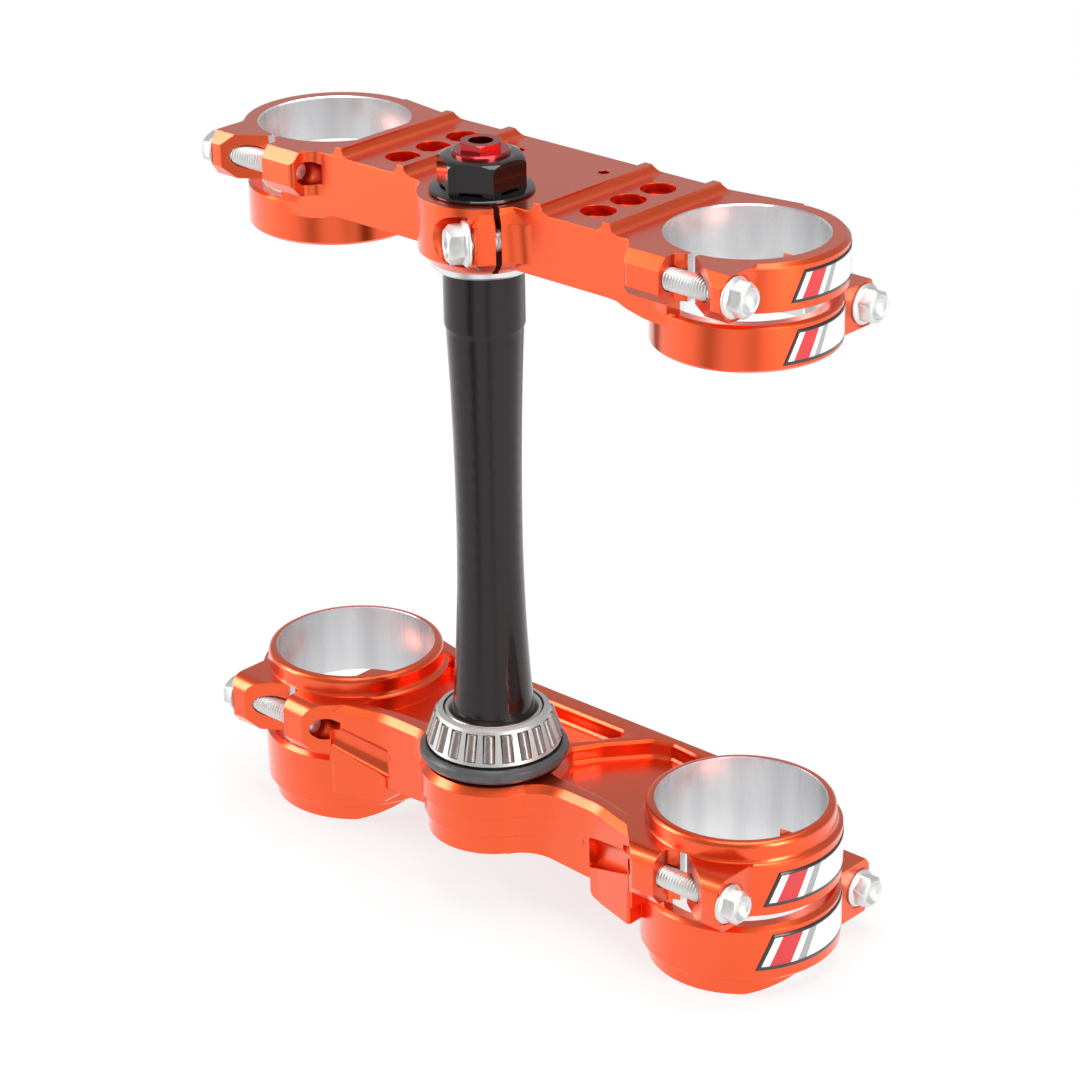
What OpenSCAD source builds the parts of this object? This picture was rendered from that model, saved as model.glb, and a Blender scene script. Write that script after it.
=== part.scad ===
// Motorcycle triple clamp: two forged and milled fork clamps on a hollow steering stem.
// +Z is up along the steering axis, +X is to the rider's right and +Y is forward, to the fork legs.
// The origin is at the lower mouth of the stem's bore, on the steering axis.

/* [Fork legs] */
// Distance between the two fork leg axes
fork_spacing = 190; // [180:1:210]
// How far the fork legs sit in front of the steering axis
fork_offset = 24; // [20:0.5:27]
// Bore of the upper fork collars
top_bore_d = 54; // [50:0.5:55]
// Bore of the lower fork collars
bottom_bore_d = 60; // [54:0.5:61]
// Height from the lower bores' rims to the upper bores' rims
rim_pitch = 207; // [190:1:230]

/* [Top clamp] */
// Height of the top clamp's fork collars
top_collar_h = 37; // [34:0.5:44]
// Height of each clamping band of the top clamp
top_band_h = 16; // [15:0.5:17]
// Wall of the upper band around the fork leg
top_wall = 6.5; // [5.5:0.25:7.5]
// Wall of the lower band around the fork leg
top_low_wall = 4.8; // [4.5:0.1:6]
// Thickness of the beam between the collars
beam_h = 22; // [20:0.5:25]
// Rear face of both clamps' beams, behind the steering axis
beam_back = 7; // [5:0.5:8]
// Front face of both clamps' beams, ahead of the steering axis
beam_front = 52.5; // [50:0.5:54]
// Radius of the hub around the stem
top_hub_r = 22; // [20.5:0.5:23]
// Depth of the hub, below the top face
top_hub_h = 24; // [22:0.5:26]
// Lateral place of the handlebar mount holes
bar_hole_x = 45; // [42:0.5:50]
// Pitch of the handlebar mount holes, front to back
bar_hole_pitch = 15; // [14:0.5:16]
// Diameter of the handlebar mount holes
bar_hole_d = 10.2; // [8.5:0.1:10.5]
// Height of the rails beside the handlebar mounts
rail_h = 3.4; // [2:0.2:5]

/* [Bottom clamp] */
// Full height of the bottom clamp's fork collars
bottom_collar_h = 59.5; // [57:0.5:66]
// Height of the raised lip above the collar's shelf
lip_h = 7; // [5:0.5:8]
// Height of the upper clamping band
bottom_band_h = 19.8; // [19:0.2:21]
// Height of the lower clamping band
bottom_low_band_h = 21.3; // [20:0.1:22]
// Wall of the bottom clamp's bands
bottom_wall = 5.5; // [5:0.25:7]
// Wall of the foot below the lower band
foot_wall = 2.6; // [2:0.2:4]
// Slope of the foot's underside, ahead of its flat rear part
foot_slope = 17; // [10:1:25]
// Depth of the bottom clamp's beam
web_h = 29.5; // [27:0.5:32]
// Depth of the pockets milled in the beam's top
pocket_depth = 6.5; // [3:0.5:9]
// Radius of the hub around the stem
bottom_hub_r = 27; // [26:0.5:28]
// Depth of the hub, below the beam's top
bottom_hub_h = 27; // [25:0.5:29]

/* [Pinch bolts] */
// Thread diameter of the pinch bolts
bolt_d = 8; // [7:0.5:8]
// Diameter of the bolts' flange
bolt_flange_d = 14; // [13:0.5:15]
// Width across the flats of the bolts' hex
bolt_flats = 10.5; // [10:0.5:11.5]
// Height of the bolts' head, with its flange
bolt_head_h = 6.6; // [6:0.2:7.4]
// Height of the gap between the two bands of a collar
slot_h = 5; // [4:0.2:5]
// Width of the cut through each band
slit_w = 3; // [2:0.2:3.4]
// Width of the slit in the top clamp's hub
hub_slit_w = 2; // [1.5:0.1:2.5]

/* [Steering stem] */
// Diameter of the stem in the top clamp
stem_top_d = 28; // [26:0.5:29]
// Diameter of the stem at its waist
stem_waist_d = 23.2; // [22:0.2:24]
// Diameter of the stem in the lower bearing and hub
stem_low_d = 30; // [29:0.5:30]
// Bore through the stem
stem_bore_d = 16; // [14:0.5:17]
// Width across the flats of the stem nut
nut_flats = 27; // [26:0.5:28]
// Height of the stem nut
nut_h = 12.8; // [11:0.2:15]
// Diameter of the stem nut's flange
nut_flange_d = 36; // [34:0.5:38]
// Thickness of the spacer ring under the top clamp's hub
spacer_h = 2.4; // [2:0.2:6]
// Diameter of the spacer ring
spacer_d = 36; // [34:0.5:38]

/* [Lower bearing] */
// Height of the bearing's inner ring
ring_h = 17; // [16:0.5:18]
// Number of tapered rollers
roller_count = 21; // [18:1:22]
// Taper of the rollers and their cage, from the steering axis
roller_tilt = 17; // [12:0.5:18]
// Largest diameter of a roller
roller_d = 4.6; // [4:0.1:5]
// Length of a roller
roller_len = 10; // [8:0.5:10.5]
// How far the dust seal's lip reaches beyond the circle of the rollers' middles
seal_reach = 5.8; // [4.9:0.1:6.1]
// Running gap between the cage with its rollers and the inner ring
run_gap = 0.25; // [0.2:0.05:0.4]

/* [Hidden] */
$fn = 60;
eps = 0.05;

orange = [0.93, 0.33, 0.12];
silver = [0.78, 0.78, 0.8];
black = [0.1, 0.1, 0.11];

fork_x = fork_spacing / 2;
top_bore_r = top_bore_d / 2;
bottom_bore_r = bottom_bore_d / 2;

// Levels of the bottom clamp: the hub's underside is at Z = 0, and the feet reach below it
bottom_hub_z = 0;
shelf_z = bottom_hub_z + bottom_hub_h;
bottom_rim_z = shelf_z + lip_h;
foot_z = bottom_rim_z - bottom_collar_h;
bottom_band_z = shelf_z - bottom_band_h;
bottom_low_z = bottom_band_z - slot_h;
band_foot_z = bottom_low_z - bottom_low_band_h;
web_z = shelf_z - web_h;
groove_z = bottom_band_z + 3.5;
ledge_z = groove_z - 1;

// Levels of the top clamp
top_z = bottom_rim_z + rim_pitch;
top_band_z = top_z - top_band_h;
top_low_z = top_band_z - slot_h;
top_foot_z = top_z - top_collar_h;
top_hub_z = top_z - top_hub_h;
spacer_z = top_hub_z - spacer_h;

// Pinch bolts: how far the bolt's axis and the lugs' tips lie from a bore's centre
bolt_wall = 2.5;
lug_tip = 6;
top_bolt_r = top_bore_r + bolt_d / 2 + bolt_wall;
bottom_bolt_r = bottom_bore_r + bolt_d / 2 + bolt_wall;
bolt_gap = 0.3;
hole_r = bolt_d / 2 + bolt_gap;
top_face_x = 22.8;
bottom_face_x = 24.9;
spot_depth = 0.5;
spot_r = bolt_flange_d / 2 + 0.7;
bolt_len = 39;
slot_start_x = -6;
slit_x = 1.5;
chamfer_h = 4;
chamfer_in = 3.2;
top_lug_root = [[-38, -20, 0], [-38, -31, 0], [-27, -31.6, 10]];
bottom_lug_root = [[-31, -20, 0], [-29, -27.5, 0], [-23.5, -33, 3]];
front_lug_root = [[-24, -12, 0], [-24, -21, 0], [-21, -29, 8]];
lug_round = 6;

// The stem's pinch lug: its direction from the steering axis, its face and its bolt
lug_turn = -34;
lug_face = 24.4;
lug_seat = -9.5;
pinch_spot_r = 9;
pinch_r = stem_top_d / 2 + hole_r + 1.2;
pinch_z = top_z - 11.8;
pinch_len = 32;

// Outline helpers: a point is [x, y, radius of its corner], and outlines run anticlockwise
function unit(v) = v / norm(v);
function flat(p) = [p.x, p.y];
function corner(a, b, c, steps) =
    let (u = unit(flat(a) - flat(b)), w = unit(flat(c) - flat(b)), half = acos(u * w) / 2,
         side = cross(u, w) < 0 ? 1 : -1, reach = b.z / tan(half),
         centre = flat(b) + unit(u + w) * b.z / sin(half), start = flat(b) + u * reach - centre,
         from = atan2(start.y, start.x), sweep = side * (180 - 2 * half))
    b.z <= 0 ? [flat(b)]
             : [for (i = [0 : steps]) centre + b.z * [cos(from + sweep * i / steps), sin(from + sweep * i / steps)]];
function rounded(pts, steps = 6) =
    [for (i = [0 : len(pts) - 1]) each corner(pts[(i + len(pts) - 1) % len(pts)], pts[i],
                                              pts[(i + 1) % len(pts)], steps)];

// The same outline moved inwards by d: corners slide along their edges, and their radii follow
function slid(a, b, c, d) =
    let (u = unit(flat(b) - flat(a)), w = unit(flat(c) - flat(b)), nu = [-u.y, u.x], nw = [-w.y, w.x],
         turn = cross(u, w), at = flat(b) + (nu + nw) * d / (1 + nu * nw))
    [at.x, at.y, b.z <= 0 ? 0 : max(0.05, b.z - d * (turn > 0 ? 1 : -1))];
function inset(pts, d) =
    [for (i = [0 : len(pts) - 1]) slid(pts[(i + len(pts) - 1) % len(pts)], pts[i],
                                       pts[(i + 1) % len(pts)], d)];

// A solid through the outline at each level [z, inset], closed by fans about a centre that sees every edge
module lofted(pts, levels, centre, steps = 4) {
    rings = [for (l = levels) [for (p = rounded(inset(pts, l[1]), steps)) [p.x, p.y, l[0]]]];
    n = len(rings[0]);
    m = len(levels);
    polyhedron(
        points = concat([for (r = rings) each r],
                        [[centre.x, centre.y, levels[0][0]], [centre.x, centre.y, levels[m - 1][0]]]),
        faces = concat(
            [for (k = [0 : m - 2], i = [0 : n - 1])
                [k * n + i, (k + 1) * n + i, (k + 1) * n + (i + 1) % n]],
            [for (k = [0 : m - 2], i = [0 : n - 1])
                [k * n + i, (k + 1) * n + (i + 1) % n, k * n + (i + 1) % n]],
            [for (i = [0 : n - 1]) [m * n, i, (i + 1) % n]],
            [for (i = [0 : n - 1]) [m * n + 1, (m - 1) * n + (i + 1) % n, (m - 1) * n + i]]));
}

module both_sides() {
    children();
    mirror([1, 0, 0]) children();
}

module at_fork() {
    both_sides() translate([fork_x, fork_offset, 0]) children();
}

module prism(pts, z0, z1, steps = 6) {
    translate([0, 0, z0]) linear_extrude(z1 - z0) polygon(rounded(pts, steps));
}

// Flanged hex head bolt along +X from the seat at X = 0 inwards to -X, its hex recessed by a shallow dish
module flange_bolt(length) {
    flange_h = 1.6;
    dish_r = bolt_flats * 0.37;
    dish_h = 2.4;
    rotate([0, 90, 0]) difference() {
        union() {
            rotate_extrude() polygon([[0, 0], [bolt_flange_d / 2, 0], [bolt_flange_d / 2, flange_h * 0.6],
                                      [bolt_flats / 2 - 0.4, flange_h + 1.6], [0, flange_h + 1.6]]);
            intersection() {
                cylinder(d = bolt_flats / cos(30), h = bolt_head_h, $fn = 6);
                rotate_extrude() polygon([[0, 0], [bolt_flats * 0.6, 0], [bolt_flats * 0.6, bolt_head_h - 0.9],
                                          [bolt_flats * 0.47, bolt_head_h], [0, bolt_head_h]]);
            }
            translate([0, 0, -length]) cylinder(d = bolt_d, h = length + 1);
        }
        translate([0, 0, bolt_head_h - dish_h]) rotate_extrude()
            polygon(concat([[0, dish_h + 1], [0, 0]],
                           [for (a = [25 : 20 : 85]) [dish_r * sin(a), dish_h * (1 - cos(a))]],
                           [[dish_r + 0.1, dish_h + 1]]));
    }
}

// Outlines of the threaded lug and of the ear under the bolt's head, about a bore's centre.
// They lie behind the bore (-Y). The lug grows out of the wall at its root and reaches its tip at tip_x.
function lug_outline(bolt_r, wall_r, root, tip_x) =
    concat(root, [[tip_x, -bolt_r - lug_tip, 3], [-1, -bolt_r - lug_tip, 0], [-1, -wall_r + 5, 0]]);
function ear_outline(bolt_r, wall_r, face_x) =
    [[1, -wall_r + 5, 0], [1, -bolt_r - lug_tip, 0], [face_x, -bolt_r - lug_tip, 1.5],
     [face_x, -wall_r * 0.62, 0]];

// The lug and ear of one band from z0 to z1, bevelled below and, if top_round isn't 0, rounded over above
module band_ends(bolt_r, wall_r, face_x, z0, z1, root, tip_x, top_round = 0) {
    tip = -bolt_r - lug_tip;
    upper = top_round > 0 ? [[0, z1 + 0.03, 0], [tip, z1 + 0.03, top_round]]
                          : [[0, z1 + 1, 0], [tip + chamfer_in + 0.8, z1 + 1, 0], [tip, z1 - chamfer_h, 0]];
    intersection() {
        union() {
            prism(lug_outline(bolt_r, wall_r, root, tip_x), z0, z1);
            prism(ear_outline(bolt_r, wall_r, face_x), z0, z1);
        }
        translate([-41, 0, 0]) rotate([90, 0, 90]) linear_extrude(80)
            polygon(rounded(concat(upper, [[tip, z0 + chamfer_h, 0], [tip + chamfer_in + 0.8, z0 - 1, 0],
                                           [0, z0 - 1, 0]])));
    }
}

module band_cuts(bore_r, bolt_r, face_x, z0, z1) {
    mid = (z0 + z1) / 2;
    translate([slit_x - slit_w / 2, -bolt_r - lug_tip - 1, z0 - eps])
        cube([slit_w, bolt_r + lug_tip + 1, z1 - z0 + 2 * eps]);
    notch = [[-3.8, -bolt_r - lug_tip - 1, 0], [20.5, -bolt_r - lug_tip - 1, 0], [17.3, -bolt_r - lug_tip + 0.3, 2],
             [2.6, -bolt_r + 4.2, 1], [-1, -bolt_r + 3.8, 1.5], [-3.8, -bolt_r + 2, 1.5]];
    prism(notch, z0 - eps, z1 + eps, 4);
    translate([-25, -bolt_r, mid]) rotate([0, 90, 0]) cylinder(r = hole_r, h = face_x + 26);
    translate([face_x - spot_depth, -bolt_r, mid]) rotate([0, 90, 0]) cylinder(r = spot_r, h = 14);
}

// The gap between two bands, open from slot_start_x outwards
module collar_slot(z0, reach) {
    translate([slot_start_x, -reach, z0]) cube([reach + 40, 2 * reach, slot_h]);
}

module fork_bolts(bore_z, bolt_r, face_x, front) {
    side = front ? 1 : -1;
    translate([fork_x + face_x - spot_depth, fork_offset + side * bolt_r, bore_z]) flange_bolt(bolt_len);
}

// Plan of a beam: straight rear face, front face that runs out to the collars
function beam_outline(reach) =
    [[-fork_x + 15, -beam_back, 0], [fork_x - 15, -beam_back, 0], [fork_x - 3, reach, 0],
     [fork_x - 32, beam_front, 25], [-fork_x + 32, beam_front, 25], [-fork_x + 3, reach, 0]];

module top_collar_rings() {
    r = top_bore_r + top_wall;
    low_r = top_bore_r + top_low_wall;
    edge = 1.4;
    rotate_extrude() polygon([[0, top_low_z - 2], [top_bore_r + 2, top_low_z - 2], [top_bore_r + 2, top_low_z],
                              [r, top_low_z], [r, top_z - edge], [r - edge, top_z], [0, top_z]]);
    translate([0, 0, top_foot_z]) rotate_extrude()
        polygon([[0, 0], [low_r - 1, 0], [low_r, 1], [low_r, top_low_z - top_foot_z - 1],
                 [low_r - 1, top_low_z - top_foot_z], [0, top_low_z - top_foot_z]]);
}

// A rail: a narrow flat top with a hollow on each side, drawn across X and run along Y
module rail() {
    top_w = 3;
    r = rail_h;
    end_slope = 5;
    half = concat([[top_w / 2 + r, -1]],
                  [for (a = [0 : 15 : 90]) [top_w / 2 + r - r * sin(a), r - r * cos(a)]]);
    difference() {
        translate([0, beam_front, top_z]) rotate([90, 0, 0]) linear_extrude(beam_front + beam_back)
            polygon(concat(half, [for (i = [len(half) - 1 : -1 : 0]) [-half[i].x, half[i].y]]));
        translate([-top_w - r, beam_front, top_z - 1]) rotate([40, 0, 0])
            cube([2 * (top_w + r), 3 * end_slope, 3 * end_slope]);
    }
}

module top_hub() {
    chamfer = 4;
    fillet = 5;
    fillet_x = sqrt(pow(top_hub_r + fillet, 2) - pow(beam_back + fillet, 2));
    fillet_end = atan2(beam_back + fillet, fillet_x);
    translate([0, 0, top_hub_z]) rotate_extrude()
        polygon([[0, 0], [top_hub_r - chamfer, 0], [top_hub_r, chamfer], [top_hub_r, top_hub_h], [0, top_hub_h]]);
    // Hollow between the hub and the beam's rear face, on the left
    translate([0, 0, top_z - beam_h + 0.2]) linear_extrude(beam_h - 0.2)
        polygon(concat([[0, 0], [-fillet_x, 0]],
            [for (i = [0 : 6]) [-fillet_x + (fillet - eps) * cos(90 - i / 6 * (90 - fillet_end)),
                                -beam_back - fillet + (fillet - eps) * sin(90 - i / 6 * (90 - fillet_end))]]));
    // Lug for the stem's pinch bolt
    c = [cos(lug_turn), sin(lug_turn)];
    s = [-sin(lug_turn), cos(lug_turn)];
    tip = c * lug_face + s * (lug_seat + 1.2);
    run = (-beam_back - tip.y) / s.y;
    foot = tip + s * run;
    outline = [[0, 12, 0], [c.x * 2 + s.x * lug_seat, c.y * 2 + s.y * lug_seat, 0], [tip.x, tip.y, 1.5],
               [foot.x, foot.y, 9], [foot.x + 22, -beam_back, 0], [foot.x + 22, 12, 0]];
    lofted(outline, [[top_z - beam_h + 0.2, 3.5], [top_z - 18.5, 0], [top_z - 5, 0], [top_z, 4]], [12, 0]);
}

module top_clamp() {
    r = top_bore_r + top_wall;
    beam_z = top_z - beam_h;
    rail_x = [31.5, 61.5];
    color(orange) difference() {
        union() {
            prism(beam_outline(fork_offset + r - 0.5), beam_z, top_z);
            both_sides() {
                for (x = rail_x) translate([x, 0, 0]) rail();
                // Gusset that carries the lower band from the beam
                translate([0, beam_front - 1, top_z]) rotate([90, 0, 0])
                    linear_extrude(beam_front + beam_back - 1.05)
                        polygon([[fork_x - 40, -beam_h + 4], [fork_x - 34, -beam_h + 0.1],
                                 [fork_x - 29, -beam_h - 0.3], [fork_x - 25, -beam_h - 1.9],
                                 [fork_x - 18, -beam_h - 3.4], [fork_x - 12, -beam_h - 4], [fork_x - 4, -beam_h - 4],
                                 [fork_x - 4, -beam_h + 4]]);
            }
            at_fork() {
                top_collar_rings();
                band_ends(top_bolt_r, r, top_face_x, top_band_z, top_z, top_lug_root, -18);
                mirror([0, 1, 0]) band_ends(top_bolt_r, r, top_face_x, top_foot_z, top_low_z, front_lug_root, -16);
            }
            top_hub();
        }
        at_fork() {
            translate([0, 0, top_foot_z - 1]) cylinder(r = top_bore_r, h = top_collar_h + 2);
            translate([0, 0, top_z - 0.5]) cylinder(r1 = top_bore_r, r2 = top_bore_r + 0.55, h = 0.55);
            collar_slot(top_low_z, top_bolt_r + lug_tip + 4);
            band_cuts(top_bore_r, top_bolt_r, top_face_x, top_band_z, top_z);
            mirror([0, 1, 0]) band_cuts(top_bore_r, top_bolt_r, top_face_x, top_foot_z, top_low_z);
        }
        both_sides() {
            // Handlebar mount holes with a shallow counterbore
            for (i = [0 : 2]) translate([bar_hole_x, 8 + i * bar_hole_pitch, 0]) {
                translate([0, 0, beam_z - 1]) cylinder(d = bar_hole_d, h = beam_h + 2);
                translate([0, 0, top_z - 4]) cylinder(d = bar_hole_d + 2, h = 5);
            }
            translate([19.5, 39.5, top_z - 9]) cylinder(d = 4, h = 10);
        }
        // Stem bore, its slit and the pinch bolt's hole
        translate([0, 0, top_hub_z - 1]) cylinder(d = stem_top_d + 0.1, h = top_hub_h + 2);
        rotate(lug_turn) {
            translate([0, -hub_slit_w / 2, top_hub_z - 1]) cube([lug_face + 8, hub_slit_w, top_hub_h + 2]);
            translate([pinch_r, lug_seat - 1, pinch_z]) rotate([-90, 0, 0]) cylinder(r = hole_r, h = pinch_len + 3);
            translate([pinch_r, lug_seat - 14, pinch_z]) rotate([-90, 0, 0]) cylinder(r = pinch_spot_r, h = 14);
        }
    }
}

// Collar of the bottom clamp: foot, two bands and the raised lip with a hollow under it
module bottom_collar_rings() {
    r = bottom_bore_r + bottom_wall;
    foot_r = bottom_bore_r + foot_wall;
    lip_r = bottom_bore_r + 3.3;
    lip_top = 1.2;
    round_r = lip_r - bottom_bore_r - lip_top;
    hollow_r = min(r - lip_r, lip_h - round_r - 1);
    rotate_extrude() polygon([[0, foot_z], [foot_r, foot_z], [foot_r, band_foot_z + 1], [0, band_foot_z + 1]]);
    rotate_extrude() polygon([[0, band_foot_z], [r - 0.8, band_foot_z], [r, band_foot_z + 0.8], [r, bottom_low_z - 1.5],
                              [r - 1.5, bottom_low_z], [0, bottom_low_z]]);
    rotate_extrude() polygon(concat(
        [[0, bottom_low_z - 2], [r - 2, bottom_low_z - 2], [r, bottom_band_z], [r, shelf_z - 1]],
        [for (a = [0 : 22.5 : 90]) [r - hollow_r * sin(a), shelf_z - 1 + hollow_r - hollow_r * cos(a)]],
        [for (a = [0 : 22.5 : 90]) [lip_r - round_r + round_r * cos(a), bottom_rim_z - round_r + round_r * sin(a)]],
        [[0, bottom_rim_z]]));
}

// Plan of the beam's rear part on one side: a hollow of radius fillet runs from a hub of radius hub_r
// into the rear wall, and the wall leans out towards the collar's lug
function wall_outline(hub_r) =
    let (fillet = 15, wall_y = -beam_back + 2, r = hub_r - 0.3, k = r + fillet,
         centre_x = sqrt(k * k - pow(fillet - wall_y, 2)), way = [(fillet - wall_y) / k, centre_x / k],
         touch = [centre_x, wall_y - fillet] * r / k, run = (wall_y - touch.y) / way.y)
    [[4, 10, 0], [8, -4, 0], [touch.x - 3 * way.x, touch.y - 3 * way.y, 0], [touch.x + run * way.x, wall_y, fillet],
     [fork_x - 43, wall_y, 30], [fork_x - 20, wall_y - 6, 0], [fork_x - 17, 10, 0]];

function rear_pocket() =
    [[24, 3.5, 4], [48, 2.5, 20], [fork_x - 20, -3, 0], [fork_x - 15, 24, 0], [fork_x - 20, 49.3, 0],
     [54, 48.6, 20], [42, 49.8, 5], [34.5, 47, 5], [22, 32, 20], [16, 22, 4]];

function front_pocket() =
    [[-24.5, 46, 3.5], [-24.5, 41, 4], [-13, 25.5, 4], [13, 25.5, 4], [24.5, 41, 4], [24.5, 46, 3.5]];

// Levels of a pocket's cutter: a hollow at the floor and a rounded edge at the top
function pocket_levels() =
    let (r = 2.2, edge = 1.2, floor_z = shelf_z - pocket_depth)
    concat([for (a = [0 : 30 : 90]) [floor_z + r - r * cos(a), 2 * r - edge - r * sin(a)]],
           [for (a = [0 : 30 : 60]) [shelf_z - r + r * sin(a), r * cos(a) - edge]],
           [[shelf_z + eps, -edge - 0.05]]);

// Steps of the hub's wall: depths below the shelf, and how much smaller each step is than the one above it
hub_steps = [[0, 11.4], [11.4, 19.5], [19.5, bottom_hub_h]];
hub_step = 1.2;

// The beam's rear part on one side, from the hub to the collar, with the stepped hub's hollows
module rear_wall() {
    edge = 2.4;
    lofted(wall_outline(bottom_hub_r), [[shelf_z - hub_steps[0][1], 0], [shelf_z - edge, 0], [shelf_z, edge]],
           [26, 0], 6);
    for (i = [1 : 2]) {
        prism(wall_outline(bottom_hub_r - i * hub_step), i == 2 ? web_z : shelf_z - hub_steps[i][1],
              shelf_z - hub_steps[i][0] + 0.5);
    }
}

// Block under each lug that carries the lower band: its plan, cut to the profile seen from the front
module carrier() {
    intersection() {
        prism([[fork_x - 44, -beam_back + 1.2, 0], [fork_x - 40, -beam_back + 0.5, 0], [fork_x - 21, -beam_back - 4.6, 1],
               [fork_x - 21, 50, 0], [fork_x - 44, 50, 0]], foot_z, ledge_z);
        translate([0, 60, 0]) rotate([90, 0, 0]) linear_extrude(90)
            polygon(rounded([[fork_x - 44, ledge_z + 1, 0], [fork_x - 44, web_z - 6, 2.5], [fork_x - 38, web_z - 7, 4],
                             [fork_x - 28, web_z - 7, 4], [fork_x - 24, band_foot_z + 6, 6],
                             [fork_x - 21, band_foot_z + 0.5, 0], [fork_x - 10, band_foot_z + 0.5, 0],
                             [fork_x - 10, ledge_z + 1, 0]], 4));
    }
}

// Round groove along X over the block, with a ball end
module groove() {
    r = 5.5;
    translate([fork_x - 24, -beam_back - 3.2, groove_z]) {
        rotate([0, -90, 0]) cylinder(r = r, h = 24);
        rotate([0, 90, 0]) rotate_extrude()
            polygon(concat([[0, -1], [r, -1]], [for (a = [0 : 15 : 75]) [r * cos(a), r * sin(a)]], [[0, r]]));
    }
}

module bottom_hub() {
    step = hub_step;
    for (i = [0 : 2]) {
        r = bottom_hub_r - i * step;
        top = shelf_z - hub_steps[i][0];
        edge = i == 0 ? 2.4 : 0.3;
        low = shelf_z - hub_steps[i][1];
        rotate_extrude() polygon([[0, low], [r - 0.4, low], [r, low + 0.4], [r, top - edge], [r - edge, top],
                                  [0, top]]);
    }
}

module bottom_clamp() {
    r = bottom_bore_r + bottom_wall;
    foot_flat_y = -fork_offset;
    color(orange) difference() {
        union() {
            difference() {
                union() {
                    intersection() {
                        prism(beam_outline(fork_offset + r - 0.5), web_z, shelf_z);
                        translate([-fork_x, 0, web_z - 1]) cube([2 * fork_x, 100, web_h + 2]);
                    }
                    both_sides() {
                        rear_wall();
                        carrier();
                    }
                }
                both_sides() lofted(rear_pocket(), pocket_levels(), [45, 20], 4);
                lofted(front_pocket(), pocket_levels(), [0, 38], 4);
                both_sides() groove();
            }
            bottom_hub();
            at_fork() {
                bottom_collar_rings();
                band_ends(bottom_bolt_r, r, bottom_face_x, bottom_band_z, shelf_z - eps, bottom_lug_root, -14, lug_round);
                mirror([0, 1, 0]) band_ends(bottom_bolt_r, r, bottom_face_x, band_foot_z, bottom_low_z,
                                            front_lug_root, -16);
            }
        }
        at_fork() {
            translate([0, 0, foot_z - 1]) cylinder(r = bottom_bore_r, h = bottom_collar_h + 2);
            translate([0, 0, bottom_rim_z - 0.25]) cylinder(r1 = bottom_bore_r, r2 = bottom_bore_r + 0.3, h = 0.3);
            collar_slot(bottom_low_z, bottom_bolt_r + lug_tip + 4);
            band_cuts(bottom_bore_r, bottom_bolt_r, bottom_face_x, bottom_band_z, shelf_z);
            mirror([0, 1, 0]) band_cuts(bottom_bore_r, bottom_bolt_r, bottom_face_x, band_foot_z, bottom_low_z);
            // Underside of the foot, which rises towards the front
            translate([-r, foot_flat_y, 0]) rotate([90, 0, 90]) linear_extrude(2 * r)
                polygon([[0, foot_z - 1], [0, foot_z], [(band_foot_z - foot_z) / tan(foot_slope), band_foot_z],
                         [2 * r, band_foot_z], [2 * r, foot_z - 1]]);
        }
        translate([0, 0, web_z - 10]) cylinder(d = stem_low_d, h = web_h + 20);
    }
}

// Stem: journal in the hub and bearing, waist that swells to the top journal, thread under the nut
module steering_stem() {
    waist_z = bottom_rim_z + 86;
    foot_z = ring_z + ring_h + 1.7;
    journal_z = spacer_z - 22;
    top_r = stem_top_d / 2;
    waist_r = stem_waist_d / 2;
    low_r = stem_low_d / 2;
    swell = top_r - 0.55 - waist_r;
    flare = low_r - 0.5 - waist_r;
    color(black) difference() {
        rotate_extrude() polygon(concat(
            [[0, bottom_hub_z], [low_r, bottom_hub_z], [low_r, foot_z - 1.5], [low_r - 0.5, foot_z]],
            [for (i = [1 : 12]) [waist_r + flare * pow(1 - i / 12, 2), foot_z + (waist_z - foot_z) * i / 12]],
            [for (i = [1 : 12]) [waist_r + swell * pow(i / 12, 2), waist_z + (journal_z - waist_z) * i / 12]],
            [[top_r, journal_z + 1.2], [top_r, top_z + 1], [top_r - 1, top_z + 1.5], [0, top_z + 1.5]]));
        translate([0, 0, bottom_hub_z - 1]) cylinder(d = stem_bore_d, h = top_z - bottom_hub_z + 10);
    }
}

module stem_nut() {
    flange_h = 1.3;
    hex_r = nut_flats / 2 / cos(30);
    dome = 2.8;
    color(black) translate([0, 0, top_z]) difference() {
        union() {
            rotate_extrude() polygon([[0, 0], [nut_flange_d / 2 - 0.4, 0], [nut_flange_d / 2, 0.4],
                                      [nut_flange_d / 2, flange_h - 0.4], [nut_flange_d / 2 - 0.4, flange_h],
                                      [hex_r - 1.5, flange_h + 0.6], [0, flange_h + 0.6]]);
            intersection() {
                rotate(28) cylinder(r = hex_r, h = nut_h, $fn = 6);
                rotate_extrude() polygon(concat([[0, 0], [hex_r + 1, 0], [hex_r + 1, nut_h - dome]],
                    [for (a = [10 : 20 : 90]) [hex_r - dome * 1.6 + dome * 1.6 * cos(a), nut_h - dome + dome * sin(a)]],
                    [[0, nut_h]]));
            }
        }
        translate([0, 0, -1]) cylinder(d = stem_top_d + 0.2, h = 3.5);
        cylinder(d = stem_bore_d + 0.4, h = nut_h + 1);
    }
}

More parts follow.
